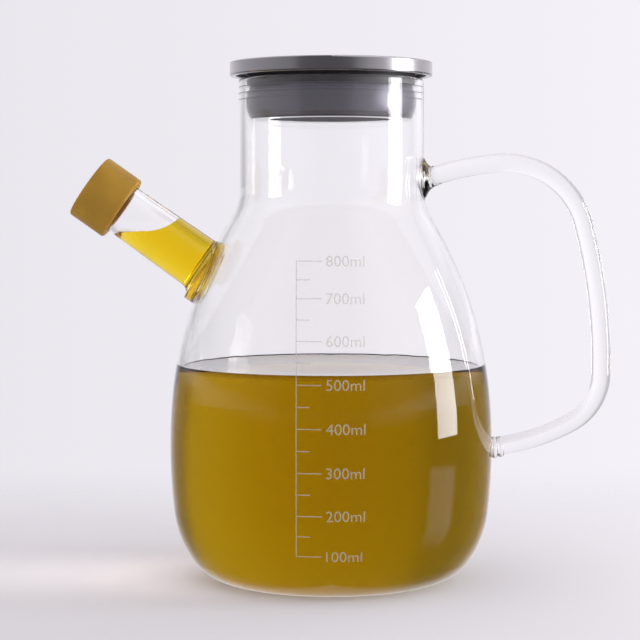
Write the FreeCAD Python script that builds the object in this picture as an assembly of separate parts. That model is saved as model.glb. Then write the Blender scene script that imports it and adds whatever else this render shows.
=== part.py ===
import FreeCAD, Part
import math
import os
from FreeCAD import Vector

# A blown glass jug for oil: a pear-shaped body with a wide neck, a slanted pouring spout and a
# loop handle of solid rod, all fused into one piece of glass. A steel lid with a silicone plug
# closes the neck, a silicone cap closes the spout, and oil stands in the body and in the spout.
#
# Millimetres. Z points up, the jug stands on Z = 0 and its axis is the Z axis. The spout points
# to -X, the handle to +X, and both lie in the plane Y = 0. The measuring scale is at -Y.

# Body and neck. The outline is a chain of arcs, each tangent to the one before it, that starts
# level at the edge of the flat base. An arc is its radius and the direction at its end, in
# degrees above level, so 90 is straight up and more than 90 leans in towards the axis.
wall = 2.0
base_radius = 32.6
heel_arc = (16.2, 54.4)
belly_arc = (34.0, 83.4)
waist_arc = (185.0, 95.1)
shoulder_arc = (138.0, 121.0)
neck_fillet = 19.5
rim_height = 164.7
rim_rounding = 0.9

# Spout. Distances along the spout are measured from the point where its axis meets the wall.
spout_rise = 35.2
spout_height = 103.1
spout_length = 43.2
spout_straight = 10.5
spout_root_radius = 9.0
spout_tip_radius = 8.5
spout_wall = 1.7
weld_flare = 3.1
weld_depth = 7.0

# Handle. Its rod leaves the neck rising, turns over the top, falls, and comes back to the belly.
# Each turn is a radius and an angle in degrees, and all of them turn the same way.
rod_radius = 3.1
handle_height = 131.9
handle_rise = 20.0
handle_turns = ((98.7, 14.8), (26.8, 80.0), (177.3, 16.4), (18.4, 60.5), (71.4, 23.2))
rod_sunk = 4.0
rod_overlap = 0.4

# Welds of the handle. The upper end is drawn out into a pad on the neck: a section of it is its
# distance from the wall, its height above the rod's end, its half width and its half height.
# The lower end has rings round it where the soft glass was pressed on: a ring is its distance
# from the wall, its height above the rod's end, its outer radius and its lean in degrees.
upper_pad_sections = (
    (6.0, 1.95, 3.1, 3.25),
    (3.6, 1.15, 3.2, 3.45),
    (1.9, 0.5, 3.7, 4.3),
    (0.7, 0.0, 4.8, 6.3),
    (-1.6, -0.6, 6.4, 8.2),
)
lower_rings = ((2.9, 0.15, 3.45, 6.0), (0.9, -0.15, 3.6, 4.0))
ring_thickness = 1.1

# Lid: a stamped steel dish with its hem turned in, a dark gasket above the hem, a steel drum
# under it, and a clear silicone sleeve round the drum. The sleeve's barrel and thin fins hold
# the lid in the neck.
lid_radius = 33.2
lid_gap = 0.9
lid_thickness = 4.7
sheet = 0.8
lid_top_rounding = 0.5
hem_width = 1.9
hem_height = 1.4
hem_rounding = 0.6
collar_radius = 27.6
drum_radius = 25.4
drum_neck_radius = 24.0
drum_chamfer = 1.2
plug_top = 2.2
plug_depth = 13.1
sleeve_clearance = 0.5
sleeve_bulge = 1.6
sleeve_lip = 0.8
sleeve_hole_radius = 20.0
boss_height = 0.6
sleeve_fins = 3
fin_pitch = 2.05
fin_root = 0.35
fin_tip = 0.1

# Spout cap: a thick silicone cup pushed over the end of the spout.
cap_radius = 11.2
cap_length = 13.5
cap_grip = 10.0
cap_clearance = 0.1
cap_rounding = 0.9

# Contents. Oil wets glass, so its surface curls up where it meets the wall.
oil_level = 70.5
oil_curl = 1.2
spout_oil_level = 115.0
spout_oil_curl = 14.8
spout_oil_curl_turn = 75.0
spout_oil_flat_end = 18.3

# A distance beyond every piece, how far a cut runs past the surface that it opens, and how
# nearly a circle must match the radius and height that it is looked up by.
far = 200.0
overrun = 5.0
match = 0.01

axis = Vector(0, 0, 1)


def on_plane(radius, height):
    """Point of an outline drawn in the plane Y = 0."""
    return Vector(radius, 0, height)


def tangent_arcs(start, heading, turns):
    """Arcs joined tangentially. A turn is a radius and a signed angle, positive to the left."""
    arcs = []
    point = start
    angle = math.radians(heading)
    for radius, turn in turns:
        side = math.copysign(1.0, turn)
        sweep = math.radians(turn)
        to_centre = on_plane(-math.sin(angle), math.cos(angle)) * (side * radius)
        centre = point + to_centre
        halfway = centre - on_plane(-math.sin(angle + sweep / 2), math.cos(angle + sweep / 2)) * (side * radius)
        angle = angle + sweep
        end = centre - on_plane(-math.sin(angle), math.cos(angle)) * (side * radius)
        arcs.append(Part.Arc(point, halfway, end).toShape())
        point = end
    return arcs, point, math.degrees(angle)


def line(start, end):
    return Part.LineSegment(start, end).toShape()


def body_outline(inset):
    """Half outline of the body and neck, moved inwards by inset, from the axis to the neck."""
    turns = []
    heading = 0.0
    for radius, end_heading in (heel_arc, belly_arc, waist_arc, shoulder_arc):
        turns.append((radius - inset, end_heading - heading))
        heading = end_heading
    turns.append((neck_fillet + inset, 90.0 - heading))
    base_edge = on_plane(base_radius, inset)
    arcs, neck_start, heading = tangent_arcs(base_edge, 0.0, turns)
    return [line(on_plane(0, inset), base_edge)] + arcs, neck_start


def revolved(edges):
    """Solid of revolution about Z of a closed outline."""
    face = Part.Face(Part.Wire(edges))
    return face.revolve(Vector(0, 0, 0), axis, 360)


def polygon(points):
    return [line(a, b) for a, b in zip(points, points[1:] + points[:1])]


def vessel(inset, top):
    """Solid inside the body outline, up to a flat top."""
    edges, neck_start = body_outline(inset)
    neck_top = on_plane(neck_start.x, top)
    edges += [line(neck_start, neck_top), line(neck_top, on_plane(0, top))]
    edges.append(line(on_plane(0, top), on_plane(0, inset)))
    return revolved(edges)


def wall_radius(height, inset=0.0):
    """Radius of the body outline at a height."""
    edges, neck_start = body_outline(inset)
    if height >= neck_start.z:
        return neck_start.x
    level = line(on_plane(0, height), on_plane(far, height))
    hits = [level.distToShape(edge) for edge in edges[1:]]
    nearest = min(hits, key=lambda hit: hit[0])
    return nearest[1][0][0].x


def vessel_neck_radius():
    edges, neck_start = body_outline(0.0)
    return neck_start.x


def circle_edges(shape, radius, height):
    """Circular edges of a shape round the Z axis at a radius and height."""
    found = []
    for edge in shape.Edges:
        curve = edge.Curve
        if not isinstance(curve, Part.Circle):
            continue
        if abs(curve.Radius - radius) < match and abs(curve.Center.z - height) < match:
            found.append(edge)
    return found


def spout_placement():
    """Moves a piece modelled along Z so that it lies along the spout, from its root outwards."""
    rise = math.radians(spout_rise)
    direction = Vector(-math.cos(rise), 0, math.sin(rise))
    root = on_plane(-wall_radius(spout_height), spout_height)
    return FreeCAD.Placement(root, FreeCAD.Rotation(axis, direction))


def along_spout(shape):
    shape.Placement = spout_placement()
    return shape


def spout_outline(inset, start, end):
    """Tube that flares like a trumpet into the weld on the body's wall."""
    root = spout_root_radius - inset
    tip = spout_tip_radius - inset
    flared = root + weld_flare
    straight_start = spout_length - spout_straight
    bend = on_plane(flared, weld_flare) - on_plane(1, 1) * (weld_flare * math.sqrt(0.5))
    edges = [line(on_plane(0, start), on_plane(flared, start)), line(on_plane(flared, start), on_plane(flared, 0))]
    edges.append(Part.Arc(on_plane(flared, 0), bend, on_plane(root, weld_flare)).toShape())
    rest = [on_plane(root, weld_flare), on_plane(tip, straight_start), on_plane(tip, end)]
    rest += [on_plane(0, end), on_plane(0, start)]
    edges += [line(a, b) for a, b in zip(rest, rest[1:])]
    return edges


def spout_bore(body):
    """Space inside the spout, down to the body's wall, which stays closed behind it."""
    bore = revolved(spout_outline(spout_wall, -weld_depth, spout_length + overrun))
    return along_spout(bore).cut(body)


def handle_rod():
    """Rod of the handle, with both ends run on into the glass that they are welded to."""
    start = on_plane(vessel_neck_radius() - rod_overlap, handle_height)
    turns = [(radius, -turn) for radius, turn in handle_turns]
    arcs, end, end_heading = tangent_arcs(start, handle_rise, turns)
    rise = math.radians(handle_rise)
    fall = math.radians(end_heading)
    first = start - on_plane(math.cos(rise), math.sin(rise)) * rod_sunk
    last = end + on_plane(math.cos(fall), math.sin(fall)) * rod_sunk
    path = Part.Wire([line(first, start)] + arcs + [line(end, last)])
    section = Part.Circle(first, start - first, rod_radius).toShape()
    return path.makePipeShell([Part.Wire(section)], True, True), end


def upper_weld():
    """Pad of the rod's upper end, drawn out up and down along the neck."""
    neck = vessel_neck_radius()
    wires = []
    for distance, rise, half_width, half_height in upper_pad_sections:
        centre = on_plane(neck + distance, handle_height + rise)
        long_end = centre + Vector(0, 0, half_height)
        side = centre + Vector(0, half_width, 0)
        wires.append(Part.Wire(Part.Ellipse(long_end, side, centre).toShape()))
    return Part.makeLoft(wires, True, False)


def lower_weld(rod_end):
    """Rings where the rod's lower end is pressed on to the belly."""
    belly = wall_radius(rod_end.z)
    rings = []
    for distance, rise, outer_radius, lean in lower_rings:
        centre = on_plane(belly + distance, rod_end.z + rise)
        direction = on_plane(math.cos(math.radians(lean)), math.sin(math.radians(lean)))
        rings.append(Part.makeTorus(outer_radius - ring_thickness, ring_thickness, centre, direction))
    return rings


def glass_jug():
    body = vessel(0.0, rim_height)
    cavity = vessel(wall, rim_height + overrun)
    tube = along_spout(revolved(spout_outline(0.0, -weld_depth, spout_length)))
    rod, rod_end = handle_rod()
    outside = body.fuse([tube, rod, upper_weld()] + lower_weld(rod_end))
    glass = outside.cut(cavity).cut(spout_bore(body)).removeSplitter()
    inner_neck = vessel_neck_radius() - wall
    rim = circle_edges(glass, inner_neck + wall, rim_height) + circle_edges(glass, inner_neck, rim_height)
    return glass.makeFillet(rim_rounding, rim)


def body_oil():
    """Oil in the body, with a quarter-round curl where its surface meets the glass."""
    inner = wall_radius(oil_level, wall)
    flat_end = inner - oil_curl
    curl_middle = on_plane(flat_end, oil_level + oil_curl) + on_plane(1, -1) * (oil_curl * math.sqrt(0.5))
    curl_top = on_plane(inner, oil_level + oil_curl)
    beyond = [curl_top, on_plane(far, oil_level + oil_curl), on_plane(far, far)]
    beyond += [on_plane(0, far), on_plane(0, oil_level), on_plane(flat_end, oil_level)]
    edges = [Part.Arc(on_plane(flat_end, oil_level), curl_middle, curl_top).toShape()]
    edges += [line(a, b) for a, b in zip(beyond, beyond[1:])]
    return vessel(wall, rim_height).cut(revolved(edges))


def spout_oil():
    """Oil held in the spout. Its surface is level, and climbs the glass at the upper side."""
    root = on_plane(-wall_radius(spout_height), spout_height)
    flat_end = on_plane(root.x - spout_oil_flat_end, spout_oil_level)
    far_end = on_plane(-far, spout_oil_level)
    arcs, top, heading = tangent_arcs(flat_end, 0.0, [(spout_oil_curl, spout_oil_curl_turn)])
    above = [top, on_plane(top.x, far), on_plane(-far, far), far_end, flat_end]
    edges = arcs + [line(a, b) for a, b in zip(above, above[1:])]
    air = Part.Face(Part.Wire(edges)).extrude(Vector(0, 2 * far, 0))
    air.translate(Vector(0, -far, 0))
    return spout_bore(vessel(0.0, rim_height)).cut(air)


def lid_cap():
    """Steel dish: a flat top with a skirt turned down all round, and a hem turned in below."""
    bottom = rim_height + lid_gap
    top = bottom + lid_thickness
    hem_radius = lid_radius - hem_width
    outline = [on_plane(0, top), on_plane(lid_radius, top), on_plane(lid_radius, bottom)]
    outline += [on_plane(hem_radius, bottom), on_plane(hem_radius, bottom + hem_height)]
    outline += [on_plane(lid_radius - sheet, bottom + hem_height), on_plane(lid_radius - sheet, top - sheet)]
    outline.append(on_plane(0, top - sheet))
    dish = revolved(polygon(outline))
    hem = circle_edges(dish, lid_radius, bottom) + circle_edges(dish, hem_radius, bottom)
    dish = dish.makeFillet(hem_rounding, hem)
    return dish.makeFillet(lid_top_rounding, circle_edges(dish, lid_radius, top))


def lid_gasket():
    """Dark rubber that fills the skirt above its hem, with a collar down into the neck."""
    bottom = rim_height + lid_gap + hem_height
    top = rim_height + lid_gap + lid_thickness - sheet
    foot = rim_height - plug_top
    outline = [on_plane(drum_neck_radius, top), on_plane(lid_radius - sheet, top)]
    outline += [on_plane(lid_radius - sheet, bottom), on_plane(collar_radius, bottom)]
    outline += [on_plane(collar_radius, foot), on_plane(drum_neck_radius, foot)]
    return revolved(polygon(outline))


def lid_core():
    """Steel drum under the dish. A shallow boss fills the hole in the sleeve's lower lip."""
    top = rim_height + lid_gap + lid_thickness - sheet
    shoulder = rim_height - plug_top
    foot = rim_height - plug_depth + sleeve_lip
    outline = [on_plane(0, top), on_plane(drum_neck_radius, top), on_plane(drum_neck_radius, shoulder)]
    outline += [on_plane(drum_radius, shoulder), on_plane(drum_radius, foot + drum_chamfer)]
    outline += [on_plane(drum_radius - drum_chamfer, foot), on_plane(sleeve_hole_radius, foot)]
    outline += [on_plane(sleeve_hole_radius, foot - boss_height), on_plane(0, foot - boss_height)]
    return revolved(polygon(outline))


def lid_sleeve():
    """Silicone sleeve: a barrel round the drum, fins against the glass, and a lip under the drum."""
    inner_neck = vessel_neck_radius() - wall
    bottom = rim_height - plug_depth
    top = rim_height - plug_top
    foot = bottom + sleeve_lip
    widest = inner_neck - sleeve_clearance
    narrow = widest - sleeve_bulge
    middle = (top + bottom) / 2
    barrel = Part.Arc(on_plane(narrow, bottom), on_plane(widest, middle), on_plane(narrow, top)).toShape()
    rest = [on_plane(narrow, top), on_plane(drum_radius, top), on_plane(drum_radius, foot + drum_chamfer)]
    rest += [on_plane(drum_radius - drum_chamfer, foot), on_plane(sleeve_hole_radius, foot)]
    rest += [on_plane(sleeve_hole_radius, bottom), on_plane(narrow, bottom)]
    sleeve = revolved([barrel] + [line(a, b) for a, b in zip(rest, rest[1:])])
    for number in range(sleeve_fins):
        height = top - fin_root - fin_pitch * number
        fin = [on_plane(drum_radius, height - fin_root), on_plane(inner_neck, height - fin_tip)]
        fin += [on_plane(inner_neck, height + fin_tip), on_plane(drum_radius, height + fin_root)]
        sleeve = sleeve.fuse(revolved(polygon(fin)))
    return sleeve.removeSplitter()


def spout_cap():
    """Cup with a thick wall and a closed end, open towards the body."""
    mouth = spout_length - cap_grip
    cup = Part.makeCylinder(cap_radius, cap_length, on_plane(0, mouth), axis)
    ends = circle_edges(cup, cap_radius, mouth) + circle_edges(cup, cap_radius, mouth + cap_length)
    cup = cup.makeFillet(cap_rounding, ends)
    bore = Part.makeCylinder(spout_tip_radius + cap_clearance, cap_grip, on_plane(0, mouth), axis)
    return along_spout(cup.cut(bore))


parts = {
    "glass_jug": glass_jug(),
    "oil": body_oil(),
    "spout_oil": spout_oil(),
    "lid_cap": lid_cap(),
    "lid_gasket": lid_gasket(),
    "lid_core": lid_core(),
    "lid_sleeve": lid_sleeve(),
    "spout_cap": spout_cap(),
}

os.makedirs("parts", exist_ok=True)
for name, shape in parts.items():
    box = shape.BoundBox
    print(name, "solids", len(shape.Solids), "valid", shape.isValid(), "cm3", round(shape.Volume / 1000, 2))
    print("  x %.2f..%.2f  y %.2f..%.2f" % (box.XMin, box.XMax, box.YMin, box.YMax))
    print("  z %.2f..%.2f" % (box.ZMin, box.ZMax))
    shape.exportStep("parts/" + name + ".step")
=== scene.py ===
import math

import bmesh
import bpy
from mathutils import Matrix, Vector


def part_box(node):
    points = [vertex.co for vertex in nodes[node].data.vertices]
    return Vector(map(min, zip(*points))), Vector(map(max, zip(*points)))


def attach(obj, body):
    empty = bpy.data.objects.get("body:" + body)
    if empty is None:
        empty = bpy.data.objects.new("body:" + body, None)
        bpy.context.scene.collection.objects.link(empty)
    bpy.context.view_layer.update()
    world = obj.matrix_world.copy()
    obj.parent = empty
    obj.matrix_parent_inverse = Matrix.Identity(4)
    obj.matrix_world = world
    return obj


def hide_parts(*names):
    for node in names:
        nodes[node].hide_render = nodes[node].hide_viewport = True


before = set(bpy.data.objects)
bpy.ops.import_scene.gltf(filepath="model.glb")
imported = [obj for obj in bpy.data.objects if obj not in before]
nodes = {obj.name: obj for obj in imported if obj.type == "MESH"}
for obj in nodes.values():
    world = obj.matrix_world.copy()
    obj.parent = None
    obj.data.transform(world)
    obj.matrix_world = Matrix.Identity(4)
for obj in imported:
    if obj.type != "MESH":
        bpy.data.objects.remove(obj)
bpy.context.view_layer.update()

bpy.context.scene.view_settings.view_transform = "Standard"

white = (1.0, 1.0, 1.0, 1.0)
black = (0.0, 0.0, 0.0, 1.0)
sharpAngle = math.radians(35)    # edges that turn more than this stay crisp
closeBy = 1e-6                   # points nearer than this are one point


def srgb(red, green, blue):
    # screen colour from 0 to 255, as the linear colour that shaders take
    def toLinear(value):
        share = value / 255
        return share / 12.92 if share <= 0.04045 else ((share + 0.055) / 1.055) ** 2.4
    return (toLinear(red), toLinear(green), toLinear(blue), 1.0)


def shaded(colour, share):
    # the same colour, darker or lighter
    return [channel * share for channel in colour[:3]]


def feed(tree, socket, value):
    # a socket takes a link or a plain value
    if hasattr(value, "is_output"):
        tree.links.new(value, socket)
    else:
        socket.default_value = value


def addNode(tree, kind, **values):
    node = tree.nodes.new(kind)
    for name, value in values.items():
        if hasattr(node, name):
            setattr(node, name, value)
        else:
            feed(tree, node.inputs[name.replace("_", " ")], value)
    return node


def addMath(tree, operation, first, second=None, clamp=False):
    node = addNode(tree, "ShaderNodeMath", operation=operation, use_clamp=clamp)
    feed(tree, node.inputs[0], first)
    if second is not None:
        feed(tree, node.inputs[1], second)
    return node.outputs[0]


def addRamp(tree, value, stops):
    # a colour along a value, or a grey where the stop is a plain number
    ramp = addNode(tree, "ShaderNodeValToRGB")
    elements = ramp.color_ramp.elements
    while len(elements) < len(stops):
        elements.new(1.0)
    for element, (position, colour) in zip(elements, stops):
        if isinstance(colour, (int, float)):
            colour = (colour, colour, colour)
        element.position = position
        element.color = (*colour[:3], 1.0)
    tree.links.new(value, ramp.inputs[0])
    return ramp.outputs[0]


def addRange(tree, value, fromEnds, toEnds=(0.0, 1.0), smooth=False):
    node = addNode(tree, "ShaderNodeMapRange", interpolation_type="SMOOTHSTEP" if smooth else "LINEAR")
    for name, end in zip(("From Min", "From Max", "To Min", "To Max"), (*fromEnds, *toEnds)):
        node.inputs[name].default_value = end
    tree.links.new(value, node.inputs["Value"])
    return node.outputs["Result"]


def addMix(tree, share, first, second, blend="MIX"):
    mix = addNode(tree, "ShaderNodeMix", data_type="RGBA", blend_type=blend)
    for place, value in ((0, share), (6, first), (7, second)):
        feed(tree, mix.inputs[place], value)
    return mix.outputs[2]


def addMixShader(tree, share, first, second):
    mix = addNode(tree, "ShaderNodeMixShader")
    for place, value in enumerate((share, first, second)):
        tree.links.new(value, mix.inputs[place])
    return mix.outputs[0]


def addNoise(tree, coords, scale, detail, roughness=0.5):
    noise = addNode(tree, "ShaderNodeTexNoise", Vector=coords, Scale=scale, Detail=detail,
                    Roughness=roughness)
    return noise.outputs[0]


def addTone(tree, noise, dark, light, ends=(0.3, 0.7)):
    # a surface's own colour, uneven by the noise
    return addRamp(tree, noise, [(ends[0], dark), (ends[1], light)])


def addBump(tree, height, strength, distance):
    return addNode(tree, "ShaderNodeBump", Height=height, Strength=strength, Distance=distance).outputs[0]


def objectCoords(tree):
    return addNode(tree, "ShaderNodeTexCoord").outputs["Object"]


def splitVector(tree, vector):
    return addNode(tree, "ShaderNodeSeparateXYZ", Vector=vector).outputs


def lengthOf(tree, vector):
    node = addNode(tree, "ShaderNodeVectorMath", operation="LENGTH")
    tree.links.new(vector, node.inputs[0])
    return node.outputs["Value"]


def newMaterial(name):
    material = bpy.data.materials.new(name)
    material.use_nodes = True
    tree = material.node_tree
    tree.nodes.clear()
    return material, tree, addNode(tree, "ShaderNodeOutputMaterial")


def dress(node, material):
    # a CAD node keeps its mesh and gets one finish
    mesh = nodes[node].data
    mesh.materials.clear()
    mesh.materials.append(material)


def newPiece(name, mesh, material, replaced=()):
    piece = bpy.data.objects.new(name, mesh)
    bpy.context.scene.collection.objects.link(piece)
    mesh.materials.append(material)
    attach(piece, "root")
    if replaced:
        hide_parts(*replaced)
    return piece


def letLampsThrough(tree, shader, output, tint):
    # lamps shine through the glass, so what stands in and behind it is lit
    path = addNode(tree, "ShaderNodeLightPath")
    clear = addNode(tree, "ShaderNodeBsdfTransparent", Color=tint)
    both = addMixShader(tree, path.outputs["Is Shadow Ray"], shader, clear.outputs[0])
    tree.links.new(both, output.inputs["Surface"])


bodyShape = {
    "wall": 0.0020,
    "baseRadius": 0.0326,
    # radius of each arc, and the direction at its end in degrees above level
    "arcs": ((0.0162, 54.4), (0.0340, 83.4), (0.1850, 95.1), (0.1380, 121.0)),
    "neckFillet": 0.0195,
    "stepDegrees": 1.5,
}


def bodyOutline(inset):
    # radius and height along the body, moved inwards by inset, up to the foot of the neck
    radius, height, heading = bodyShape["baseRadius"], inset, 0.0
    turns = [(size - inset, end, 1) for size, end in bodyShape["arcs"]]
    turns.append((bodyShape["neckFillet"] + inset, 90.0, -1))
    points = [(radius, height)]
    for size, end, side in turns:
        centreR = radius - side * size * math.sin(math.radians(heading))
        centreZ = height + side * size * math.cos(math.radians(heading))
        count = max(2, round(max(abs(end - heading), 1) / bodyShape["stepDegrees"]) * 2)
        for step in range(1, count + 1):
            angle = math.radians(heading + (end - heading) * step / count)
            radius = centreR + side * size * math.sin(angle)
            height = centreZ - side * size * math.cos(angle)
            points.append((radius, height))
        heading = end
    return points


def radiusAt(outline, height):
    for (r0, z0), (r1, z1) in zip(outline, outline[1:]):
        if z0 <= height <= z1:
            return r0 + (r1 - r0) * (height - z0) / (z1 - z0)
    return outline[-1][0] if height > outline[-1][1] else outline[0][0]


def turnedMesh(name, outline, segments, sharpest=math.pi):
    # surface of revolution round the jug's axis, through the outline's radii and heights
    shape = bmesh.new()
    rings = []
    for radius, height in outline:
        if radius < closeBy:
            rings.append([shape.verts.new((0, 0, height))])
            continue
        ring = []
        for step in range(segments):
            angle = 2 * math.pi * step / segments
            ring.append(shape.verts.new((radius * math.cos(angle), radius * math.sin(angle), height)))
        rings.append(ring)
    for lower, upper in zip(rings, rings[1:]):
        for step in range(segments):
            after = (step + 1) % segments
            corners = (lower[step % len(lower)], lower[after % len(lower)],
                       upper[after % len(upper)], upper[step % len(upper)])
            unique = []
            for corner in corners:
                if corner not in unique:
                    unique.append(corner)
            shape.faces.new(unique)
    for face in shape.faces:
        face.smooth = True
    bmesh.ops.recalc_face_normals(shape, faces=shape.faces)
    for edge in shape.edges:
        edge.smooth = edge.calc_face_angle(0) < sharpest
    mesh = bpy.data.meshes.new(name)
    shape.to_mesh(mesh)
    shape.free()
    return mesh


outerOutline = bodyOutline(0.0)

spoutShape = {
    "rise": 35.2,            # degrees
    "height": 0.1031,        # where its axis meets the body's wall
    "midRadius": 0.0079,     # middle of its wall
    "rootDepth": 0.006,
}
print("outline ready, neck radius", round(outerOutline[-1][0], 5))


cameraSet = {
    "distance": 0.65867,     # from the jug's axis
    "height": 0.12149,
    "sideways": -0.00364,    # the jug stands a little right of the middle
    "pitch": 3.11,           # degrees below level
    "lens": 112.27,
    "sensor": 36.0,
}

cameraData = bpy.data.cameras.new("camera")
cameraData.lens = cameraSet["lens"]
cameraData.sensor_width = cameraSet["sensor"]
camera = bpy.data.objects.new("camera", cameraData)
camera.location = (cameraSet["sideways"], -cameraSet["distance"], cameraSet["height"])
camera.rotation_euler = (math.radians(90 - cameraSet["pitch"]), 0, 0)
bpy.context.scene.collection.objects.link(camera)
bpy.context.scene.camera = camera
print("camera placed")


studio = {
    "ambient": 0.74,                 # light on matt surfaces
    "ambientTint": (0.98, 0.97, 1.0, 1),
    "surroundTint": (0.985, 0.955, 1.02, 1),
    "throughGlass": 1.05,            # for the light that the surfaces of glass send back
    "softboxPlace": (0.45, -0.035, 0.164),
    "softboxSize": (0.15, 0.274),    # across, high
    "softboxPower": 1.36,
    "bounces": 64,
    "glossyBounces": 32,
    "clearLayers": 24,
}

# brightness round the jug, by direction as a share of a turn: 0 and 1 are straight behind,
# 0.25 is the left, 0.5 the camera's side and 0.75 the right
mirrored = [
    (0.00, 0.875), (0.027, 0.83), (0.10, 0.80), (0.22, 0.62), (0.29, 0.54), (0.36, 0.42),
    (0.388, 0.38), (0.397, 0.14), (0.50, 0.10), (0.565, 0.14), (0.578, 0.36), (0.63, 0.78),
    (0.67, 0.85), (0.84, 0.85), (0.91, 0.85), (0.973, 0.925), (1.00, 0.875),
]
mirroredBelow = [
    (0.00, 0.875), (0.050, 0.80), (0.100, 0.25), (0.160, 0.06), (0.840, 0.06), (0.900, 0.25),
    (0.950, 0.80), (1.00, 0.875),
]
seenThrough = [
    (0.00, 0.875), (0.030, 0.83), (0.050, 0.74), (0.070, 0.56), (0.105, 0.52), (0.135, 0.62),
    (0.180, 0.74), (0.250, 0.80), (0.340, 0.70), (0.400, 0.55), (0.540, 0.55), (0.600, 0.80),
    (0.750, 0.85), (0.820, 0.64), (0.850, 0.62), (0.875, 0.96), (0.910, 1.00), (0.940, 0.98),
    (0.973, 0.925), (1.00, 0.875),
]
# how far up a direction points, and how much of mirrored it shows in place of mirroredBelow
mirroredRise = [(0.005, 0.0), (0.050, 1.0), (0.085, 1.0), (0.110, 0.25), (0.240, 0.25), (0.320, 1.0)]
# a bright upright stripe low on the right, by turn and by how far down a direction points
stripeTurn = [(0.700, 0.0), (0.712, 1.0), (0.765, 1.0), (0.777, 0.0)]
stripeDrop = [(0.13, 0.0), (0.15, 1.0), (0.32, 1.0), (0.60, 0.0)]


def makeWorld():
    world = bpy.data.worlds.new("studioWorld")
    bpy.context.scene.world = world
    world.use_nodes = True
    tree = world.node_tree
    tree.nodes.clear()
    output = addNode(tree, "ShaderNodeOutputWorld")
    x, y, z = splitVector(tree, addNode(tree, "ShaderNodeTexCoord").outputs["Generated"])
    path = addNode(tree, "ShaderNodeLightPath").outputs
    # turn round the jug as a share from 0 to 1, 0.5 towards the camera
    angle = addMath(tree, "ARCTAN2", x, addMath(tree, "MULTIPLY", y, -1.0))
    turn = addRange(tree, angle, (-math.pi, math.pi))
    # what surfaces mirror
    room = addMix(tree, addRamp(tree, z, mirroredRise), addRamp(tree, turn, mirroredBelow),
                  addRamp(tree, turn, mirrored))
    drop = addMath(tree, "MULTIPLY", z, -1.0)
    stripe = addMath(tree, "MULTIPLY", addRamp(tree, turn, stripeTurn), addRamp(tree, drop, stripeDrop))
    room = addMix(tree, stripe, room, white)
    # the camera and what comes through glass see the backdrop instead
    notThrough = addMath(tree, "SUBTRACT", 1.0, path["Is Transmission Ray"])
    isMirrored = addMath(tree, "MULTIPLY", path["Is Glossy Ray"], notThrough)
    level = addMix(tree, isMirrored, addRamp(tree, turn, seenThrough), room)
    tinted = addMix(tree, 1.0, level, studio["surroundTint"], "MULTIPLY")
    lift = addMath(tree, "MULTIPLY", path["Is Transmission Ray"], studio["throughGlass"] - 1)
    seen = addNode(tree, "ShaderNodeBackground", Color=tinted, Strength=addMath(tree, "ADD", lift, 1.0))
    ambient = addNode(tree, "ShaderNodeBackground", Color=studio["ambientTint"], Strength=studio["ambient"])
    shown = addMath(tree, "ADD", path["Is Camera Ray"], path["Is Glossy Ray"], clamp=True)
    shown = addMath(tree, "ADD", shown, path["Is Transmission Ray"], clamp=True)
    both = addMixShader(tree, shown, ambient.outputs[0], seen.outputs[0])
    tree.links.new(both, output.inputs["Surface"])


def makeSoftbox():
    lampData = bpy.data.lights.new("softbox", "AREA")
    lampData.shape = "RECTANGLE"
    lampData.size, lampData.size_y = studio["softboxSize"]
    lampData.energy = studio["softboxPower"]
    lamp = bpy.data.objects.new("softbox", lampData)
    lamp.location = studio["softboxPlace"]
    aim = Vector((0, 0, studio["softboxPlace"][2])) - lamp.location
    lamp.rotation_euler = aim.to_track_quat("-Z", "Y").to_euler()
    lamp.visible_camera = False
    bpy.context.scene.collection.objects.link(lamp)


tableLook = {
    "colour": srgb(240, 236, 241),
    "grainShade": 0.985,
    "grainScale": 6.0,
    "grainDetail": 3.0,
    "radius": 2.0,
    "segments": 96,
    # where the table starts to fade into the backdrop, and where it is gone
    "fadeBehind": (0.02, 0.30),
    "fadeFront": (-0.13, -0.26),
    "fadeAside": (0.19, 0.30),
    "fadeFar": (1.0, 1.9),
}


def makeTable():
    material, tree, output = newMaterial("paleTable")
    coords = objectCoords(tree)
    x, y, z = splitVector(tree, coords)
    grain = addNoise(tree, coords, tableLook["grainScale"], tableLook["grainDetail"])
    colour = tableLook["colour"]
    tone = addTone(tree, grain, shaded(colour, tableLook["grainShade"]), colour)
    matt = addNode(tree, "ShaderNodeBsdfDiffuse", Color=tone)
    clear = addNode(tree, "ShaderNodeBsdfTransparent")
    gone = addRange(tree, y, tableLook["fadeBehind"], smooth=True)
    for value, ends in ((lengthOf(tree, coords), "fadeFar"), (y, "fadeFront"),
                        (addMath(tree, "ABSOLUTE", x), "fadeAside")):
        gone = addMath(tree, "MAXIMUM", gone, addRange(tree, value, tableLook[ends], smooth=True))
    tree.links.new(addMixShader(tree, gone, matt.outputs[0], clear.outputs[0]), output.inputs["Surface"])
    shape = bmesh.new()
    bmesh.ops.create_circle(shape, cap_ends=True, segments=tableLook["segments"], radius=tableLook["radius"])
    mesh = bpy.data.meshes.new("table")
    shape.to_mesh(mesh)
    shape.free()
    mesh.materials.append(material)
    table = bpy.data.objects.new("table", mesh)
    bpy.context.scene.collection.objects.link(table)
    table.visible_glossy = False


makeWorld()
makeSoftbox()
makeTable()
cycles = bpy.context.scene.cycles
cycles.max_bounces = studio["bounces"]
cycles.transmission_bounces = studio["bounces"]
cycles.glossy_bounces = studio["glossyBounces"]
cycles.transparent_max_bounces = studio["clearLayers"]
print("studio built")


glassLook = {
    "ior": 1.47,
    "waviness": 0.00012,     # height of the slow ripples of blown glass
    "rippleScale": 28.0,
    "rippleDetail": 1.0,
    "rippleStrength": 1.0,
    "shadowTint": (0.80, 0.79, 0.795, 1),
    "wettedSteps": 24,
    "wettedScale": 10.0,     # brings the body's radii near 1 for the ramp
}


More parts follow.
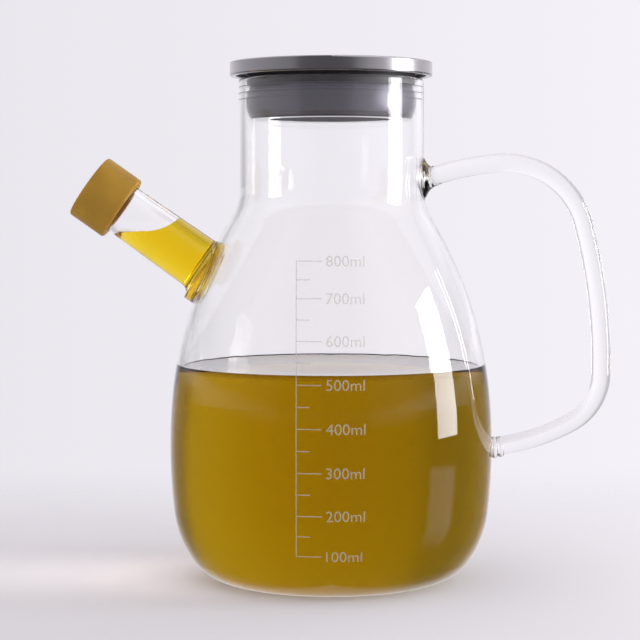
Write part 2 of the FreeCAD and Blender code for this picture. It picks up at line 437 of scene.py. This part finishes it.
def wettedGlass(tree, coords):
    # 1 on the inside of the glass where oil stands against it, where nothing is mirrored
    def times(first, second):
        return addMath(tree, "MULTIPLY", first, second)

    x, y, z = splitVector(tree, coords)
    # the body: inside the middle of its wall and below the oil's surface
    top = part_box("oil")[1].z
    middle = bodyOutline(bodyShape["wall"] / 2)
    low = middle[0][1]
    steps, scale = glassLook["wettedSteps"], glassLook["wettedScale"]
    places = [step / (steps - 1) for step in range(steps)]
    stops = [(place, radiusAt(middle, low + (top - low) * place) * scale) for place in places]
    share = addMath(tree, "DIVIDE", addMath(tree, "SUBTRACT", z, low), top - low)
    radius = addMath(tree, "SQRT", addMath(tree, "ADD", times(x, x), times(y, y)))
    inside = addMath(tree, "LESS_THAN", times(radius, scale), addRamp(tree, share, stops))
    between = times(addMath(tree, "GREATER_THAN", z, low), addMath(tree, "LESS_THAN", z, top))
    inBody = times(inside, between)
    # the spout: how far along its axis, and how far from it
    rise = math.radians(spoutShape["rise"])
    root = Vector((-radiusAt(outerOutline, spoutShape["height"]), 0, spoutShape["height"]))
    fromRoot = addNode(tree, "ShaderNodeVectorMath", operation="SUBTRACT")
    tree.links.new(coords, fromRoot.inputs[0])
    fromRoot.inputs[1].default_value = root
    along = addNode(tree, "ShaderNodeVectorMath", operation="DOT_PRODUCT")
    tree.links.new(fromRoot.outputs[0], along.inputs[0])
    along.inputs[1].default_value = (-math.cos(rise), 0, math.sin(rise))
    along = along.outputs["Value"]
    reach = lengthOf(tree, fromRoot.outputs[0])
    away = addMath(tree, "SQRT", addMath(tree, "SUBTRACT", times(reach, reach), times(along, along)))
    inSpout = times(addMath(tree, "LESS_THAN", away, spoutShape["midRadius"]),
                    addMath(tree, "GREATER_THAN", along, -spoutShape["rootDepth"]))
    inSpout = times(inSpout, addMath(tree, "LESS_THAN", z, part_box("spout_oil")[1].z))
    return addMath(tree, "MAXIMUM", inBody, inSpout)


def makeGlass():
    material, tree, output = newMaterial("clearGlass")
    coords = objectCoords(tree)
    ripple = addNoise(tree, coords, glassLook["rippleScale"], glassLook["rippleDetail"])
    glass = addNode(tree, "ShaderNodeBsdfPrincipled", Base_Color=white, Roughness=0.0,
                    IOR=glassLook["ior"], Transmission_Weight=1.0,
                    Normal=addBump(tree, ripple, glassLook["rippleStrength"], glassLook["waviness"]),
                    Specular_Tint=addRamp(tree, wettedGlass(tree, coords), [(0.0, 1.0), (1.0, 0.0)]))
    letLampsThrough(tree, glass.outputs[0], output, glassLook["shadowTint"])
    return material


dress("glass_jug", makeGlass())
print("glass dressed")


oilLook = {
    "reach": 0.0003,         # how far the oil runs into the glass, so that no air shows
    "curl": 0.0003,          # height of the oil's rim against the glass
    "curlSteps": 8,
    "rimGap": 0.0002,
    "segments": 256,
    "ior": 1.47,
    "bodyColour": (0.892, 0.830, 0.0, 1),
    "bodyDensity": 100.0,
    "spoutColour": (0.967, 0.877, 0.0, 1),
    "spoutDensity": 300.0,
}


def makeOilMaterial(name, colour, density):
    # only the oil's depth gives it colour; the glass round it does the mirroring
    material, tree, output = newMaterial(name)
    oil = addNode(tree, "ShaderNodeBsdfPrincipled", Base_Color=white, Roughness=0.0,
                  IOR=oilLook["ior"], Transmission_Weight=1.0, Specular_Tint=black)
    depth = addNode(tree, "ShaderNodeVolumeAbsorption", Color=colour, Density=density)
    tree.links.new(oil.outputs[0], output.inputs["Surface"])
    tree.links.new(depth.outputs[0], output.inputs["Volume"])
    return material


def makeBodyOil():
    reach, curl = oilLook["reach"], oilLook["curl"]
    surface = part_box("oil")[1].z
    level = surface - curl
    side = bodyOutline(bodyShape["wall"] - reach)
    outline = [(0.0, side[0][1])] + [point for point in side if point[1] < surface - oilLook["rimGap"]]
    outline.append((radiusAt(side, surface), surface))
    inner = radiusAt(side, level) - reach
    for step in range(1, oilLook["curlSteps"] + 1):
        angle = math.radians(90 * step / oilLook["curlSteps"])
        outline.append((inner - curl + curl * math.cos(angle), level + curl - curl * math.sin(angle)))
    outline.append((inner / 2, level))
    outline.append((0.0, level))
    material = makeOilMaterial("bodyOil", oilLook["bodyColour"], oilLook["bodyDensity"])
    mesh = turnedMesh("bodyOil", outline, oilLook["segments"])
    return newPiece("bodyOil", mesh, material, ("oil",))


def makeSpoutOil():
    # the CAD solid's own shape, let out a little all round into the glass
    mesh = nodes["spout_oil"].data.copy()
    shape = bmesh.new()
    shape.from_mesh(mesh)
    bmesh.ops.remove_doubles(shape, verts=shape.verts, dist=closeBy)
    shape.normal_update()
    for vertex in shape.verts:
        vertex.co += vertex.normal * oilLook["reach"]
    for face in shape.faces:
        face.smooth = True
    for edge in shape.edges:
        edge.smooth = edge.calc_face_angle(0) < sharpAngle
    shape.to_mesh(mesh)
    shape.free()
    mesh.materials.clear()
    material = makeOilMaterial("spoutOil", oilLook["spoutColour"], oilLook["spoutDensity"])
    return newPiece("spoutOil", mesh, material, ("spout_oil",))


for piece in (makeBodyOil(), makeSpoutOil()):
    piece.visible_shadow = False    # the glass round the oil casts the shadow
print("oil poured")


steelLook = {
    "brushScale": 2600.0,
    "brushDetail": 4.0,
    "brushRoughness": 0.6,
    "brushTurn": 0.004,      # how little the brushing changes round the axis
    "toneShade": 0.93,
    "roughnessEnds": (0.8, 1.25),
    "brushStrength": 0.25,
    "brushDepth": 0.00002,
}

lidLook = {
    "dish": srgb(212, 209, 214),
    "dishRoughness": 0.22,
    # painted shade: a steel colour far darker than the dish's, standing in for the shade and dark reflections
    # inside the neck
    "drum": srgb(104, 102, 110),
    "drumRoughness": 0.32,
    "paintedShadeUnder": 0.35,       # painted shade: the drum's colour is multiplied by this at its bottom face
    "undersideRoughness": 0.6,
    "undersideDepth": 0.0008,
    "undersideEdge": 0.0001,
}


def makeSteel(name, colour, roughness, paintedShadeBelow=None):
    # brushed round the axis: fine lines follow circles on the top and the edge
    material, tree, output = newMaterial(name)
    x, y, z = splitVector(tree, objectCoords(tree))
    radius = lengthOf(tree, addNode(tree, "ShaderNodeCombineXYZ", X=x, Y=y).outputs[0])
    along = addMath(tree, "MULTIPLY", addMath(tree, "ARCTAN2", y, x), steelLook["brushTurn"])
    stretched = addNode(tree, "ShaderNodeCombineXYZ", X=radius, Y=along, Z=z).outputs[0]
    brushing = addNoise(tree, stretched, steelLook["brushScale"], steelLook["brushDetail"],
                        steelLook["brushRoughness"])
    tone = addTone(tree, brushing, shaded(colour, steelLook["toneShade"]), colour)
    rough = addRange(tree, brushing, (0.0, 1.0), [roughness * end for end in steelLook["roughnessEnds"]])
    metal = 1.0
    if paintedShadeBelow:
        # the bottom face is dull, and its colour is darkened there as painted shade
        ends = (paintedShadeBelow, paintedShadeBelow + lidLook["undersideEdge"])
        metal = addRange(tree, z, ends)
        tone = addMix(tree, 1.0, tone, addRange(tree, z, ends, (lidLook["paintedShadeUnder"], 1.0)), "MULTIPLY")
        dull = addMath(tree, "MULTIPLY", addMath(tree, "SUBTRACT", 1.0, metal), lidLook["undersideRoughness"])
        rough = addMath(tree, "ADD", dull, rough)
    steel = addNode(tree, "ShaderNodeBsdfPrincipled", Metallic=metal, Base_Color=tone, Roughness=rough,
                    Normal=addBump(tree, brushing, steelLook["brushStrength"], steelLook["brushDepth"]))
    tree.links.new(steel.outputs[0], output.inputs["Surface"])
    return material


dress("lid_cap", makeSteel("brushedSteel", lidLook["dish"], lidLook["dishRoughness"]))
dress("lid_core", makeSteel("drumSteel", lidLook["drum"], lidLook["drumRoughness"],
                            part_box("lid_core")[0].z + lidLook["undersideDepth"]))
print("lid's steel dressed")


gasketLook = {
    # partly painted shade: the rubber is dark, and its near-black also stands in for the shade in the hollow
    # under the lid and round the collar
    "colour": srgb(34, 32, 36),
    "roughness": 0.55,
    "dustScale": 900.0,
    "dustDetail": 3.0,
    "shades": (0.8, 1.3),
    "shadeEnds": (0.3, 0.75),
}


def makeGasketRubber():
    material, tree, output = newMaterial("gasketRubber")
    dust = addNoise(tree, objectCoords(tree), gasketLook["dustScale"], gasketLook["dustDetail"])
    dark, light = [shaded(gasketLook["colour"], shade) for shade in gasketLook["shades"]]
    rubber = addNode(tree, "ShaderNodeBsdfPrincipled", Roughness=gasketLook["roughness"],
                     Base_Color=addTone(tree, dust, dark, light, gasketLook["shadeEnds"]))
    tree.links.new(rubber.outputs[0], output.inputs["Surface"])
    return material


dress("lid_gasket", makeGasketRubber())
print("gasket dressed")


sleeveLook = {
    "colour": (0.86, 0.85, 0.88, 1),
    "ior": 1.41,
    "roughness": 0.06,
    "roughnessEnds": (0.8, 1.3),
    "hazeScale": 300.0,
    "hazeDetail": 2.0,
    "shadowTint": (0.7, 0.7, 0.72, 1),
    "outside": 0.026,        # the sleeve's outside is wider than this
    "bite": 0.0002,          # how far the sleeve reaches into the drum
    "segments": 192,
    "digits": 5,             # the outline is read to a hundredth of a millimetre
}


def makeSleeveSilicone():
    material, tree, output = newMaterial("clearSilicone")
    haze = addNoise(tree, objectCoords(tree), sleeveLook["hazeScale"], sleeveLook["hazeDetail"])
    ends = [sleeveLook["roughness"] * end for end in sleeveLook["roughnessEnds"]]
    silicone = addNode(tree, "ShaderNodeBsdfPrincipled", Base_Color=sleeveLook["colour"],
                       IOR=sleeveLook["ior"], Transmission_Weight=1.0,
                       Roughness=addRange(tree, haze, (0.0, 1.0), ends))
    letLampsThrough(tree, silicone.outputs[0], output, sleeveLook["shadowTint"])
    return material


def makeSleeve():
    # the CAD sleeve's outline, with its inside reaching a little into the drum
    node = nodes["lid_sleeve"]
    places = [node.matrix_world @ vertex.co for vertex in node.data.vertices]
    digits = sleeveLook["digits"]
    points = {(round(math.hypot(place.x, place.y), digits), round(place.z, digits)) for place in places}
    widest = {}
    for radius, height in points:
        if radius > sleeveLook["outside"]:
            widest[height] = max(radius, widest.get(height, 0.0))
    outside = [(radius, height) for height, radius in sorted(widest.items())]
    inside = sorted(point for point in points if point[0] <= sleeveLook["outside"])
    bite = sleeveLook["bite"]
    foot, head = inside[0], inside[-1]
    within = [(radius - bite, height + bite) for radius, height in inside[1:-1]]
    outline = [foot] + outside + [(head[0] - bite, head[1])] + within[::-1] + [foot]
    mesh = turnedMesh("sleeve", outline, sleeveLook["segments"], sharpAngle)
    return newPiece("sleeve", mesh, makeSleeveSilicone(), ("lid_sleeve",))


makeSleeve()
print("sleeve made")


capLook = {
    "colour": srgb(186, 143, 42),
    "shade": srgb(171, 129, 35),
    "roughness": 0.48,
    "ior": 1.41,
    "glow": 0.35,            # share of light that soaks in
    "glowDepth": 0.004,
    "glowColour": (1.0, 0.55, 0.18),
    "cloudScale": 120.0,
    "cloudDetail": 3.0,
    "skinScale": 1500.0,
    "skinDetail": 2.0,
    "skinStrength": 0.3,
    "skinDepth": 0.00003,
}


def makeCapSilicone():
    material, tree, output = newMaterial("amberSilicone")
    coords = objectCoords(tree)
    cloud = addNoise(tree, coords, capLook["cloudScale"], capLook["cloudDetail"])
    skin = addNoise(tree, coords, capLook["skinScale"], capLook["skinDetail"])
    silicone = addNode(tree, "ShaderNodeBsdfPrincipled", Roughness=capLook["roughness"],
                       IOR=capLook["ior"], Subsurface_Weight=capLook["glow"],
                       Subsurface_Radius=capLook["glowColour"], Subsurface_Scale=capLook["glowDepth"],
                       Base_Color=addTone(tree, cloud, capLook["shade"], capLook["colour"]),
                       Normal=addBump(tree, skin, capLook["skinStrength"], capLook["skinDepth"]))
    tree.links.new(silicone.outputs[0], output.inputs["Surface"])
    return material


dress("spout_cap", makeCapSilicone())
print("spout cap dressed")


scaleSet = {
    "lineX": -0.01095,       # the long upright line
    "lineWidth": 0.00034,
    "markWidth": 0.00034,
    "longMark": 0.0078,
    "shortMark": 0.0042,
    "textX": -0.0018,
    "textHeight": 0.0034,
    "textWidth": 1.03,
    "textCurve": 3,
    "standOff": 0.00006,
    "barStep": (0.0006, 0.0012),     # across, up
    # volume in millilitres and its height on the body
    "marks": ((100, 0.01545), (200, 0.02825), (300, 0.04155), (400, 0.05506),
              (500, 0.06847), (600, 0.08170), (700, 0.09469), (800, 0.10612)),
    "ink": srgb(212, 208, 196),
    "inkShade": 0.9,
    "roughness": 0.5,
    "alpha": 0.5,
    "wearScale": 1800.0,
    "wearDetail": 2.0,
}


def frontY(x, z):
    # just outside the front of the glass
    radius = radiusAt(outerOutline, z) + scaleSet["standOff"]
    return -math.sqrt(max(radius * radius - x * x, 0.0))


def addBar(shape, x0, x1, z0, z1):
    # a thin printed bar that follows the glass
    acrossStep, upStep = scaleSet["barStep"]
    columns = max(1, round((x1 - x0) / acrossStep))
    rows = max(1, round((z1 - z0) / upStep))
    grid = []
    for row in range(rows + 1):
        z = z0 + (z1 - z0) * row / rows
        grid.append([])
        for column in range(columns + 1):
            x = x0 + (x1 - x0) * column / columns
            grid[-1].append(shape.verts.new((x, frontY(x, z), z)))
    for row in range(rows):
        for column in range(columns):
            shape.faces.new((grid[row][column], grid[row][column + 1],
                             grid[row + 1][column + 1], grid[row + 1][column]))


def numberMesh(text):
    curve = bpy.data.curves.new("number", "FONT")
    curve.body = text
    curve.size = 1.0
    curve.resolution_u = scaleSet["textCurve"]
    letters = bpy.data.objects.new("number", curve)
    bpy.context.scene.collection.objects.link(letters)
    bpy.context.view_layer.update()
    mesh = bpy.data.meshes.new_from_object(letters)
    bpy.data.objects.remove(letters)
    return mesh


def addNumber(shape, text, x, z):
    mesh = numberMesh(text)
    low = min(vertex.co.y for vertex in mesh.vertices)
    high = max(vertex.co.y for vertex in mesh.vertices)
    left = min(vertex.co.x for vertex in mesh.vertices)
    size = scaleSet["textHeight"] / (high - low)
    made = []
    for vertex in mesh.vertices:
        px = x + (vertex.co.x - left) * size * scaleSet["textWidth"]
        pz = z + (vertex.co.y - (low + high) / 2) * size
        made.append(shape.verts.new((px, frontY(px, pz), pz)))
    for face in mesh.polygons:
        shape.faces.new([made[index] for index in face.vertices])


def makeScaleInk():
    material, tree, output = newMaterial("scaleInk")
    wear = addNoise(tree, objectCoords(tree), scaleSet["wearScale"], scaleSet["wearDetail"])
    tone = addTone(tree, wear, shaded(scaleSet["ink"], scaleSet["inkShade"]), scaleSet["ink"])
    ink = addNode(tree, "ShaderNodeBsdfPrincipled", Base_Color=tone, Roughness=scaleSet["roughness"],
                  Alpha=scaleSet["alpha"])
    tree.links.new(ink.outputs[0], output.inputs["Surface"])
    return material


def makeScale():
    shape = bmesh.new()
    marks = scaleSet["marks"]
    lineX, halfLine, half = scaleSet["lineX"], scaleSet["lineWidth"] / 2, scaleSet["markWidth"] / 2
    addBar(shape, lineX - halfLine, lineX + halfLine, marks[0][1] - half, marks[-1][1] + half)
    for volume, height in marks:
        addBar(shape, lineX, lineX + scaleSet["longMark"], height - half, height + half)
        addNumber(shape, str(volume) + "ml", scaleSet["textX"], height)
    for (_, lower), (_, upper) in zip(marks, marks[1:]):
        middle = (lower + upper) / 2
        addBar(shape, lineX, lineX + scaleSet["shortMark"], middle - half, middle + half)
    mesh = bpy.data.meshes.new("measuringScale")
    shape.to_mesh(mesh)
    shape.free()
    newPiece("measuringScale", mesh, makeScaleInk())


makeScale()
print("scale printed")
